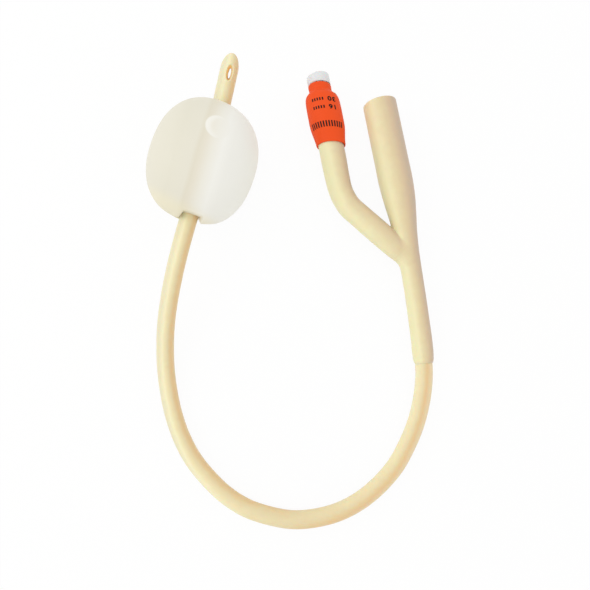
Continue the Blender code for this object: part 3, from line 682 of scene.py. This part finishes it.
def disc(tree, place, middle, radius, edge):
    """1 within radius of the middle, 0 outside it, with a soft edge."""
    apart = node(tree, "ShaderNodeVectorMath", {0: place, 1: middle}, operation="DISTANCE")
    return node(tree, "ShaderNodeMapRange", {
        "Value": apart.outputs["Value"], "From Min": radius - edge, "From Max": radius,
        "To Min": 1.0, "To Max": 0.0}, interpolation_type="SMOOTHSTEP").outputs[0]


def mixed_colour(tree, share, first, second):
    """first where share is 0, the hex code second where it is 1."""
    made = node(tree, "ShaderNodeMix", {"Factor": share, "A": first}, data_type="RGBA")
    made.inputs["B"].default_value = srgb(second)
    return made.outputs["Result"]


membrane, tree, output = new_material("stretched_latex")
place = node(tree, "ShaderNodeTexCoord").outputs["Object"]
from_middle = node(tree, "ShaderNodeVectorMath", {0: place, 1: balloon_middle},
                   operation="SUBTRACT").outputs[0]
cloud = node(tree, "ShaderNodeTexNoise",
             {"Vector": place, "Scale": 1 / MEMBRANE_CLOUD, "Detail": 1.0})
sideways = scaled(tree, along_way(tree, from_middle, right_hand - up_hand * STRIPE_SLANT),
                  0.5 / STRIPE_REACH)
across = added(tree, sideways, scaled(tree, cloud.outputs[0], CLOUD_SHARE), TONE_LEVEL)
# Painted light and shade: darker on the balloon's left, a warm painted-shade stripe along the
# tube's left edge, a painted pale zone beside its right edge, and lighter towards the right side.
painted_tone = ramp(tree, across, [
    (0.0, "EBE7D7"), (0.25, "E9E5D4"), (0.385, "EDE9D9"), (0.42, "EAE4D1"), (0.46, "EFE9D8"),
    (0.52, "F6F3E7"), (0.6, "FDFCF5"), (0.68, "FBFAF3"), (1.0, "FDFDF8")])
# Yellower towards the end nearer the fork.
yellow = node(tree, "ShaderNodeMapRange", {
    "Value": along_way(tree, from_middle, balloon_axis + right_hand * YELLOW_SLANT),
    "From Min": YELLOW_FROM, "From Max": YELLOW_TO, "To Min": 0.0, "To Max": YELLOW_SHARE},
    interpolation_type="SMOOTHSTEP")
painted_tone = mixed_colour(tree, yellow.outputs[0], painted_tone, "FAF1CE")
# Painted highlight: a pale disc for the air bubble, brightest at its left edge.
bubble = disc(tree, place, bubble_place, BUBBLE_RADIUS, BUBBLE_EDGE)
shifted = disc(tree, place, bubble_place + right_hand * BUBBLE_SHIFT, BUBBLE_RADIUS,
               3 * BUBBLE_EDGE)
rest = node(tree, "ShaderNodeMath", {0: 1.0, 1: scaled(tree, shifted, BUBBLE_FADE)},
            operation="SUBTRACT")
painted_tone = mixed_colour(tree, scaled(tree, bubble, rest.outputs[0]), painted_tone, "FAF8EF")
shader = node(tree, "ShaderNodeBsdfPrincipled", {
    "Base Color": painted_tone, "Roughness": 0.42, "IOR": 1.45, "Alpha": 0.9,
    "Specular IOR Level": 0.25, "Sheen Weight": 0.2, "Sheen Roughness": 0.4,
    "Sheen Tint": srgb("FFF8E0")})
tree.links.new(shader.outputs[0], output.inputs["Surface"])
print("membrane", membrane.name, "with a bubble", round(2 * BUBBLE_RADIUS / MM, 1), "mm across")

# %% [markdown]
# The balloon is a barrel whose ends are drawn in to cuffs turned inside it. Its outer side is one
# profile, spun about the tube. At the end nearer the fork the thin rubber is pulled back over
# the tube and bulges on both sides of it, so its vertices there are pushed in along a slot that
# leans as the real one seems to. Solidify then gives the membrane its wall.

# %% Balloon
BALLOON_WALL = 0.4 * MM
SIDE_FULLNESS = 2.41
END_FULLNESS = 2.28
RECESS_RADIUS = 4.1 * MM
RECESS_ROUNDING = 0.6 * MM
LIP_ROUNDING = 0.6 * MM
CUFF_BORE = SHAFT_RADIUS + 0.24 * MM
BODY_LEAN = math.radians(2.8)
BODY_SIDESTEP = -0.64 * MM
CLEFT_HALF_WIDTH = 3.6 * MM
CLEFT_BLEND = 0.5 * MM
CLEFT_LEVEL = -18.7 * MM
CLEFT_LEAN = 0.4
RIGHT_LOBE = 0.75


def barrel(radius, half_length, end_radius, count):
    """Outline from one end of the barrel to the other, as (radius, height), top first."""
    start = math.acos((end_radius / radius) ** (SIDE_FULLNESS / 2))
    outline = []
    for step in range(count + 1):
        turn = start * (1 - 2 * step / count)
        along = half_length * abs(math.sin(turn)) ** (2 / END_FULLNESS)
        outline.append((radius * math.cos(turn) ** (2 / SIDE_FULLNESS),
                        math.copysign(along, turn)))
    return outline


def ease(share):
    """Smooth step from 0 to 1."""
    share = min(max(share, 0.0), 1.0)
    return share * share * (3 - 2 * share)


crest = RECESS_RADIUS + LIP_ROUNDING
side = barrel(BALLOON_RADIUS, BALLOON_HALF_LENGTH, crest, 200)
recess_floor = BALLOON_HALF_LENGTH - RECESS_DEPTH
end = [(CUFF_BORE, recess_floor - CUFF_LENGTH), (CUFF_BORE, recess_floor)]
end += arc((RECESS_RADIUS - RECESS_ROUNDING, recess_floor + RECESS_ROUNDING), RECESS_ROUNDING,
           -60, 0, 4)
end += arc((crest, side[0][1] - LIP_ROUNDING), LIP_ROUNDING, 180, 95, 6)
work = bmesh.new()
turned(work, end + side + [(radius, -height) for radius, height in end[::-1]],
       Matrix.Identity(4), steps=144, closed=False)
for vertex in work.verts:
    radius = math.hypot(vertex.co.x, vertex.co.y)
    share = ease((radius - RECESS_RADIUS) / (BALLOON_RADIUS / 2 - RECESS_RADIUS))
    sideways = share * (BODY_SIDESTEP + vertex.co.z * math.tan(BODY_LEAN))
    vertex.co.z -= share * vertex.co.x * math.tan(BODY_LEAN)
    vertex.co.x += sideways
    if vertex.co.z < CLEFT_LEVEL:
        if vertex.co.x > 0:
            vertex.co.z += (1 - RIGHT_LOBE) * (CLEFT_LEVEL - vertex.co.z)
        across = vertex.co.x + CLEFT_LEAN * min(vertex.co.y, 0.0)
        inside = ease((CLEFT_HALF_WIDTH + CLEFT_BLEND / 2 - abs(across)) / CLEFT_BLEND)
        vertex.co.z += inside * (CLEFT_LEVEL - vertex.co.z)
bmesh.ops.transform(work, verts=work.verts, matrix=balloon_turn)
balloon = as_piece(work, "balloon")
changed_by(balloon, "SOLIDIFY", thickness=BALLOON_WALL, offset=-1, use_even_offset=True)
finish_mesh(balloon, membrane, 180)
keep(balloon, "balloon_latex", "retention_balloon")

# %% [markdown]
# The forked end is one moulding: stem, funnel and arm run into each other in soft fillets. A
# Boolean union would leave a hard crease there. Instead the two tubes are remeshed into one skin,
# and each vertex is then pulled onto the exact form. That form is a formula: the distance to
# each tube, and a blend of the two distances that rounds the place where they meet.

# %% Exact forms


def line_distance(points, line):
    """Distance from each point to the skin of a line with a radius at each place."""
    best = np.full(len(points), np.inf)
    for a, b in zip(line, line[1:]):
        start, along = np.array(a[:3]), np.array(b[:3]) - np.array(a[:3])
        share = np.clip((points - start) @ along / (along @ along), 0, 1)
        gap = np.linalg.norm(points - start - share[:, None] * along, axis=1)
        best = np.minimum(best, gap - (a[3] + (b[3] - a[3]) * share))
    return best


def joined(a, b, rounding):
    """Distance to two forms run together, with a fillet between them."""
    share = np.clip(0.5 + 0.5 * (b - a) / rounding, 0, 1)
    return b * (1 - share) + a * share - rounding * share * (1 - share)


def trimmed(a, b, rounding):
    """Distance to what two forms share, with the edge between them rounded."""
    return -joined(-a, -b, rounding)


def settle(piece, form, rounds=4, probe=0.02 * MM, least_slope=0.05):
    """Moves each vertex of the piece onto the form's skin."""
    mesh = piece.data
    points = np.zeros(len(mesh.vertices) * 3)
    mesh.vertices.foreach_get("co", points)
    points = points.reshape(-1, 3)
    for _ in range(rounds):
        gap = form(points)
        slope = np.stack([(form(points + probe * axis) - gap) / probe for axis in np.eye(3)], 1)
        points -= slope * (gap / np.maximum((slope ** 2).sum(1), least_slope))[:, None]
    mesh.vertices.foreach_set("co", points.ravel())
    mesh.update()
    print(piece.name, "settled to", round(float(np.abs(form(points)).max()) / MM, 4), "mm")


# %% [markdown]
# The stem and the arm closely follow the CAD model's middle lines, each point with its outer
# radius. The bores are cut last, because they hardly show: the tube's socket, the drainage bore
# that widens into the funnel, the valve's seat and the thin channel from it to the tube.

# %% Forked end
FUNNEL_X = 46.4 * MM
FUNNEL_RADIUS = 6.25 * MM
FUNNEL_MOUTH_Y = 64.1 * MM
FUNNEL_BORE = [(-1.0, 4.72), (0.0, 4.9), (0.15, 4.72), (0.45, 4.6), (26.0, 3.4)]
RIM_ROUNDING = 0.45 * MM
MOUTH_ROUNDING = 0.04 * MM
MOUTH_GAP = 0.02 * MM
FILLET_FROM_Y = 6.0 * MM
FILLET_TO_Y = 14.0 * MM
FILLETS = (1.6 * MM, 0.4 * MM)
VALVE_X = 25.2 * MM
VALVE_Z = 6.5 * MM
ARM_TOP_Y = 69.95 * MM
SLEEVE_BOTTOM_Y = 50.8 * MM
STEM_BORE_RADIUS = 1.8 * MM
STEM_BORE_TOP_Y = 28.0 * MM
SEAT_RADIUS = 3.6 * MM
SEAT_BOTTOM_Y = 58.5 * MM
CONNECTOR_VOXEL = 0.4 * MM
STEM_LINE = [
    (43.5, -34.7, 3.9, 3.17), (43.69, -32.9, 3.97, 3.68), (43.83, -31.5, 4.03, 3.78),
    (44.25, -27.4, 4.2, 3.8), (44.75, -19.4, 4.6, 3.76),
    (45.2, -11.4, 4.9, 3.74), (45.5, -3.4, 5.3, 3.76), (45.7, 4.6, 5.7, 3.91),
    (46.0, 12.6, 6.0, 4.29), (46.3, 20.6, 6.2, 5.13), (46.4, 26.6, 6.25, 5.85),
    (46.4, 33.0, 6.25, 6.25), (46.4, 42.0, 6.25, 6.25), (46.4, 66.0, 6.25, 6.25),
]
ARM_LINE = [
    (25.2, 72.0, 6.5, 5.85), (25.2, 59.8, 6.5, 5.85), (25.2, 56.8, 6.5, 5.64),
    (25.2, 52.3, 6.5, 4.85), (25.2, 50.8, 6.5, 4.75), (25.2, 45.8, 6.5, 4.75),
    (25.2, 38.6, 6.5, 4.58), (25.5, 33.2, 6.5, 4.44), (27.4, 27.1, 6.5, 4.4),
    (31.0, 22.2, 6.4, 4.4), (37.9, 13.3, 6.2, 4.4), (41.8, 8.1, 6.0, 4.05),
    (44.9, 3.8, 5.7, 3.34),
]
CHANNEL_LINE = [
    (25.2, 59.5, 6.5, 0.9), (25.2, 45.0, 6.5, 0.9), (25.5, 33.2, 6.5, 0.9),
    (27.4, 27.1, 6.5, 0.9), (31.0, 22.2, 6.4, 0.9), (37.9, 13.3, 6.2, 0.9),
    (41.6, 7.6, 6.0, 0.45), (43.2, 1.6, 5.6, 0.45), (43.3, -3.4, 5.3, 0.45),
    (43.0, -11.4, 4.9, 0.45), (42.5, -19.4, 4.6, 0.45), (42.3, -23.5, 4.4, 0.45),
]

stem_line = smooth_line(millimetres(STEM_LINE), 1.0 * MM)
arm_line = smooth_line(millimetres(ARM_LINE), 1.0 * MM)
stem_way = ahead(stem_line, 0)
stem_mouth = np.array(stem_line[0][:3])
overrun = Vector([*stem_way, 0]) * 2 * MM
stem_skin = [stem_line[0] - overrun] + stem_line


def connector_form(points):
    stem = line_distance(points, stem_skin)
    stem = trimmed(stem, points[:, 1] - FUNNEL_MOUTH_Y, RIM_ROUNDING)
    stem = trimmed(stem, (stem_mouth - points) @ np.array(stem_way), MOUTH_ROUNDING)
    arm = trimmed(line_distance(points, arm_line), points[:, 1] - ARM_TOP_Y, RIM_ROUNDING)
    return joined(stem, arm, np.interp(points[:, 1], (FILLET_FROM_Y, FILLET_TO_Y), FILLETS))


def tube_solid(name, line, sides=40):
    """Closed tube whose points carry its radius."""
    solid = bmesh.new()
    capped(solid, *sweep(solid, line, [p[3] for p in line], sides))
    return as_piece(solid, name)


connector = tube_solid("connector", [p for p in stem_line if p.y <= FUNNEL_MOUTH_Y])
arm = tube_solid("arm", [p for p in arm_line if p.y <= ARM_TOP_Y])
work = bmesh.new()
work.from_mesh(connector.data)
work.from_mesh(arm.data)
work.to_mesh(connector.data)
work.free()
bpy.data.objects.remove(arm, do_unlink=True)
changed_by(connector, "REMESH", mode="VOXEL", voxel_size=CONNECTOR_VOXEL)
settle(connector, connector_form)

socket = [Vector([*p[:3], SHAFT_RADIUS + MOUTH_GAP]) for p in stem_skin
          if p.y < stem_line[0].y + SOCKET_DEPTH + CLEARANCE]
cut(connector, tube_solid("tube_socket", socket))
bore = [Vector([*p, STEM_BORE_RADIUS]) for p in beside(
    [p for p in stem_line if socket[-1].y - 1.0 * MM < p.y < STEM_BORE_TOP_Y], -DRAIN_OFFSET)]
bore += [Vector((FUNNEL_X, FUNNEL_MOUTH_Y - depth * MM, FUNNEL_RADIUS, radius * MM))
         for depth, radius in FUNNEL_BORE[::-1]]
cut(connector, tube_solid("drainage_bore", bore))
seat = [Vector((VALVE_X, y, VALVE_Z, SEAT_RADIUS))
        for y in (ARM_TOP_Y + 2.0 * MM, SEAT_BOTTOM_Y)]
cut(connector, tube_solid("valve_seat", seat))
channel = smooth_line(millimetres(CHANNEL_LINE), 1.5 * MM)
cut(connector, tube_solid("inflation_channel", channel, 16))
finish_mesh(connector, fork_latex, 50)
keep(connector, "tube_latex", "y_connector")

# %% [markdown]
# The orange band is a thin elastic sleeve. It is stretched over the thick end of the arm and
# grips the white valve above it, so its outline steps in at both ends. Its profile is spun, with
# its wall inside. The band was pushed on a little askew, so it is slanted afterwards.

# %% Orange band
SLEEVE_WALL = 0.35 * MM
SLEEVE_BORE = 3.9 * MM
SLEEVE_SLANT = 0.15
SLEEVE_ROWS = [
    (4.05, 24.0), (4.2, 23.8), (4.25, 22.6), (4.22, 21.7), (4.25, 21.1), (4.65, 20.55),
    (5.3, 19.95), (5.8, 19.35), (6.12, 18.7), (6.36, 17.4), (6.47, 15.6), (6.5, 13.6),
    (6.5, 11.0), (6.5, 9.0), (6.4, 6.9), (6.1, 4.9),
    (5.75, 3.0), (5.5, 1.2), (5.4, 0.25), (5.3, 0.0),
]


def spun_about_valve(name, rows, material, base_y, steps=96, closed=True):
    """Turned piece on the valve's line, from rows of (radius, height above base_y)."""
    solid = bmesh.new()
    turned(solid, rows, upright(Vector((0, 1, 0)), (VALVE_X, base_y, VALVE_Z)), steps, closed)
    return as_piece(solid, name, material)


outer = [(p.x, p.y) for p in smooth_line([Vector(row) * MM for row in SLEEVE_ROWS], 0.4 * MM)]
inner = [(max(radius - SLEEVE_WALL, SLEEVE_BORE), height) for radius, height in outer]
sleeve = spun_about_valve("orange_band", outer + inner[::-1], orange_rubber, SLEEVE_BOTTOM_Y)


def slanted(point):
    """The point moved along the arm, by how far it lies from the valve's middle line."""
    return point - Vector((0, SLEEVE_SLANT * (point.x - VALVE_X), 0))


for vertex in sleeve.data.vertices:
    vertex.co = slanted(vertex.co)
keep(sleeve, "orange_band", "valve_sleeve")

# %% [markdown]
# The real band is printed with its sizes, upside down to somebody who looks from the tube's end.
# Here two plain numbers stand there, with rows of plain strokes beside and below them. They are
# laid out flat, as the distance round the band and the height along it, and then wrapped onto its
# skin. The numbers come from a text object that is turned into a mesh.

# %% Band print
PRINT_THICKNESS = 0.06 * MM
PRINT_LIFT = 0.03 * MM
PRINT_STEP = 0.4 * MM
PRINT_CUTS = range(-20, 60)
FIGURE_HEIGHT = 1.8 * MM
FIGURE_STRETCH = 1.3
FIGURE_DEPTH = 0.1
FIGURE_BOLDNESS = 0.03
FIGURE_SPACING = 1.15
FIGURES = [("30", 2.8 * MM, 15.9 * MM), ("16", 2.7 * MM, 12.75 * MM)]
STROKE_WIDTH = 0.5 * MM
SMALL_STROKES = (5, -4.6 * MM, 0.98 * MM, 1.1 * MM)
LARGE_STROKES = (13, -7.3 * MM, 1.05 * MM, 2.2 * MM)
LARGE_ROW = 6.3 * MM


def figures(work, text, across, along):
    """Plain numbers as flat solids, upside down."""
    lettering = bpy.data.curves.new("figures", "FONT")
    lettering.body = text
    lettering.align_x = "CENTER"
    lettering.align_y = "CENTER"
    lettering.extrude = FIGURE_DEPTH
    lettering.offset = FIGURE_BOLDNESS
    lettering.space_character = FIGURE_SPACING
    shown = bpy.data.objects.new("figures", lettering)
    bpy.context.scene.collection.objects.link(shown)
    bpy.context.view_layer.update()
    mesh = bpy.data.meshes.new_from_object(
        shown.evaluated_get(bpy.context.evaluated_depsgraph_get()))
    bpy.data.objects.remove(shown, do_unlink=True)
    heights = [v.co.y for v in mesh.vertices]
    size = FIGURE_HEIGHT / (max(heights) - min(heights))
    middle = (max(heights) + min(heights)) / 2
    mesh.transform(Matrix.Translation((across, along, 0)) @ Matrix.Rotation(math.pi, 4, "Z")
                   @ Matrix.Diagonal((size * FIGURE_STRETCH, size,
                                      PRINT_THICKNESS / (2 * FIGURE_DEPTH), 1))
                   @ Matrix.Translation((0, -middle, 0)))
    work.from_mesh(mesh)


def strokes(work, row, along):
    """A row of plain upright strokes: how many, where the first is, their spacing and height."""
    count, first, spacing, height = row
    for index in range(count):
        made = bmesh.ops.create_cube(work, size=1.0)["verts"]
        bmesh.ops.transform(work, verts=made, matrix=(
            Matrix.Translation((first + spacing * index, along, 0))
            @ Matrix.Diagonal((STROKE_WIDTH, height, PRINT_THICKNESS, 1))))


work = bmesh.new()
for text, across, along in FIGURES:
    figures(work, text, across, along)
    strokes(work, SMALL_STROKES, along)
strokes(work, LARGE_STROKES, LARGE_ROW)
bmesh.ops.remove_doubles(work, verts=work.verts, dist=0.001 * MM)
for step in PRINT_CUTS:
    everything = work.verts[:] + work.edges[:] + work.faces[:]
    bmesh.ops.bisect_plane(work, geom=everything, plane_co=(0, step * PRINT_STEP, 0),
                           plane_no=(0, 1, 0), dist=0.0001 * MM)
heights = [height for radius, height in outer[::-1]]
radii = [radius for radius, height in outer[::-1]]
band_radius = max(radii)
for vertex in work.verts:
    turn = vertex.co.x / band_radius
    radius = float(np.interp(vertex.co.y, heights, radii)) + vertex.co.z + PRINT_LIFT
    vertex.co = slanted(Vector((VALVE_X + radius * math.sin(turn), SLEEVE_BOTTOM_Y + vertex.co.y,
                                VALVE_Z + radius * math.cos(turn))))
band_print = as_piece(work, "band_print", print_ink)
keep(band_print, "orange_band")

# %% [markdown]
# The inflation valve is turned plastic: a flat-rimmed socket that takes a syringe, with a plunger,
# a rubber washer and a spring inside its barrel. Only the rim shows above the band, but a look
# into the socket meets the plunger, so all of it is made. The lower edge of the rim follows the
# slanted band.

# %% Valve housing
SKIRT_RADIUS = 3.7 * MM
SKIRT_HEIGHTS = (75.0 * MM, 75.5 * MM)
HOUSING_ROWS = [
    (2.3, 78.85), (3.7, 78.85), (3.93, 78.8), (4.12, 78.67), (4.25, 78.48), (4.3, 78.25),
    (4.3, 75.25), (4.2, 75.1), (3.55, 75.1), (3.55, 71.45), (4.0, 71.45), (4.0, 70.25),
    (3.3, 70.25), (3.3, 58.45), (2.4, 58.45), (2.4, 70.55), (1.3, 70.55), (1.3, 71.35),
    (2.0, 71.35), (2.15, 78.7),
]


def metres(rows):
    return [(radius * MM, height * MM) for radius, height in rows]


housing = spun_about_valve("valve_housing", metres(HOUSING_ROWS), white_plastic, 0.0)
for vertex in housing.data.vertices:
    away = math.hypot(vertex.co.x - VALVE_X, vertex.co.z - VALVE_Z)
    if away > SKIRT_RADIUS and SKIRT_HEIGHTS[0] < vertex.co.y < SKIRT_HEIGHTS[1]:
        vertex.co = slanted(vertex.co)
keep(housing, "white_plastic", "valve_body")

# %% [markdown]
# Inside the housing sit four small pieces. The plunger hangs on its rubber washer, and a coil
# spring pushes both up against the ledge until a syringe presses the plunger down. A ring holds
# the spring in. All but the spring are turned, as the housing is.

# %% Valve's inner pieces
PLUNGER_ROWS = [
    (0.0, 74.95), (0.65, 74.95), (0.76, 74.91), (0.8, 74.8), (0.8, 69.05), (1.88, 69.05),
    (2.0, 68.93), (2.0, 68.37), (1.88, 68.25), (0.7, 68.25), (0.7, 65.15), (0.5, 64.95),
    (0.0, 64.95),
]
SEAL_ROWS = [(1.1, 70.15), (1.2, 70.25), (1.95, 70.25), (2.05, 70.15), (2.05, 69.45),
             (1.95, 69.35), (1.2, 69.35), (1.1, 69.45)]
RETAINER_ROWS = [(0.9, 61.95), (1.0, 62.05), (2.0, 62.05), (2.1, 61.95), (2.1, 60.55),
                 (2.0, 60.45), (1.0, 60.45), (0.9, 60.55)]
plunger = spun_about_valve("plunger_pin", metres(PLUNGER_ROWS), white_plastic, 0.0, 48, False)
keep(plunger, "white_plastic", "valve_plunger", body="plunger")
seal = spun_about_valve("plunger_washer", metres(SEAL_ROWS), seal_rubber, 0.0, 48)
keep(seal, "seal_rubber", "valve_seal", body="plunger")
retainer = spun_about_valve("spring_ring", metres(RETAINER_ROWS), white_plastic, 0.0, 48)
keep(retainer, "white_plastic", "valve_retainer")

# %% [markdown]
# The spring is steel wire, wound with closed turns at both ends so that it sits flat. A helix is
# worked out point by point, and a thin ring is swept along it.

# %% Spring
SPRING_BOTTOM = 62.35 * MM
SPRING_LENGTH = 5.6 * MM
SPRING_RADIUS = 1.45 * MM
SPRING_WIRE = 0.18 * MM
WIRE_SIDES = 10
SPRING_TURNS = 5
END_TURN_PITCH = 0.5 * MM
STEPS_A_TURN = 32

climb = SPRING_LENGTH - 2 * SPRING_WIRE - 2 * END_TURN_PITCH
helix = []
height = SPRING_WIRE
for step in range((SPRING_TURNS + 2) * STEPS_A_TURN + 1):
    turn = math.tau * step / STEPS_A_TURN
    helix.append(Vector((SPRING_RADIUS * math.cos(turn), SPRING_RADIUS * math.sin(turn), height)))
    end_turn = step < STEPS_A_TURN or step >= (SPRING_TURNS + 1) * STEPS_A_TURN
    height += (END_TURN_PITCH if end_turn else climb / SPRING_TURNS) / STEPS_A_TURN
work = bmesh.new()
ends = sweep(work, helix, [SPRING_WIRE] * len(helix), WIRE_SIDES)
capped(work, *ends)
spring_seat = (VALVE_X, SPRING_BOTTOM, VALVE_Z)
bmesh.ops.transform(work, verts=work.verts, matrix=upright(Vector((0, 1, 0)), spring_seat))
spring = as_piece(work, "return_spring", spring_steel, 60)
keep(spring, "spring_steel", "valve_spring")
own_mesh(spring)
